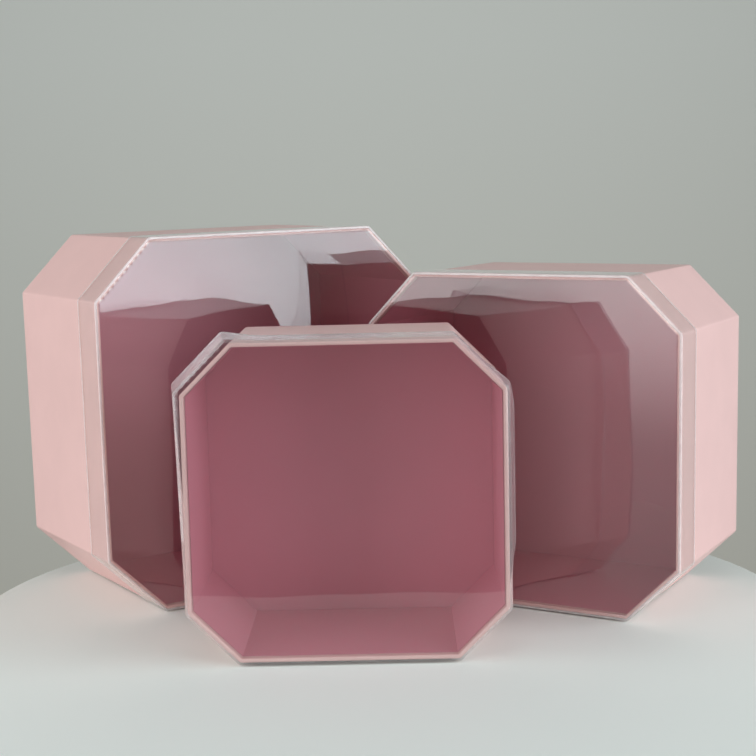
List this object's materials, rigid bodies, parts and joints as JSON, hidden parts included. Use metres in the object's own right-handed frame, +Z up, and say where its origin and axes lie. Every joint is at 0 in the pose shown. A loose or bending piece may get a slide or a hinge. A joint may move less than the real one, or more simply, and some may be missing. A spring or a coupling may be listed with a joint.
{
  "type": "flower box set",
  "caption": "Nesting set of eight-sided paper-covered board flower boxes with clear lift-off lids, each lying on a side panel with its opening to the front.",
  "frame": {"origin": "under the middle of the set's footprint, on the surface that the boxes stand on", "axes": "+Z up, +X to the right as seen from the openings' side, +Y from the openings' side to the back"},
  "size_m": [0.5022, 0.3456, 0.252],
  "materials": {
    "grey_board": "raw grey board",
    "seam_paper": "gummed kraft tape",
    "pink_paper": "satin coated paper",
    "base_paper": "satin coated paper",
    "rose_paper": "satin coated paper",
    "clear_sheet": "clear rigid film",
    "clear_band": "clear rigid film"
  },
  "bodies": {
    "large_box": {"large_wall_board": "grey_board", "large_seam_tape": "seam_paper", "large_base_board": "grey_board", "large_outer_wrap": "pink_paper", "large_base_sheet": "base_paper", "large_wall_liner": "rose_paper", "large_base_liner": "rose_paper"},
    "large_lid": {"large_lid_panel": "clear_sheet", "large_lid_band": "clear_band"},
    "medium_box": {"medium_wall_board": "grey_board", "medium_seam_tape": "seam_paper", "medium_base_board": "grey_board", "medium_outer_wrap": "pink_paper", "medium_base_sheet": "base_paper", "medium_wall_liner": "rose_paper", "medium_base_liner": "rose_paper"},
    "medium_lid": {"medium_lid_panel": "clear_sheet", "medium_lid_band": "clear_band"},
    "small_box": {"small_wall_board": "grey_board", "small_seam_tape": "seam_paper", "small_base_board": "grey_board", "small_outer_wrap": "pink_paper", "small_base_sheet": "base_paper", "small_wall_liner": "rose_paper", "small_base_liner": "rose_paper"},
    "small_lid": {"small_lid_panel": "clear_sheet", "small_lid_band": "clear_band"}
  },
  "joints": [
    {"name": "large_lid_slide", "type": "slide", "parent": "large_box", "child": "large_lid", "axis": [0.5475, -0.8367, 0.0086], "range_m": [0, 0.045]},
    {"name": "medium_box_slide", "type": "slide", "parent": "large_lid", "child": "medium_box", "axis": [1, 0, 0], "range_m": [0, 0.12]},
    {"name": "medium_lid_slide", "type": "slide", "parent": "medium_box", "child": "medium_lid", "axis": [-0.4939, -0.8695, 0.0092], "range_m": [0, 0.045]},
    {"name": "small_box_slide", "type": "slide", "parent": "medium_lid", "child": "small_box", "axis": [0, -1, 0], "range_m": [0, 0.12]},
    {"name": "small_lid_slide", "type": "slide", "parent": "small_box", "child": "small_lid", "axis": [-0.0122, -0.9998, 0.0183], "range_m": [0, 0.045]}
  ]
}
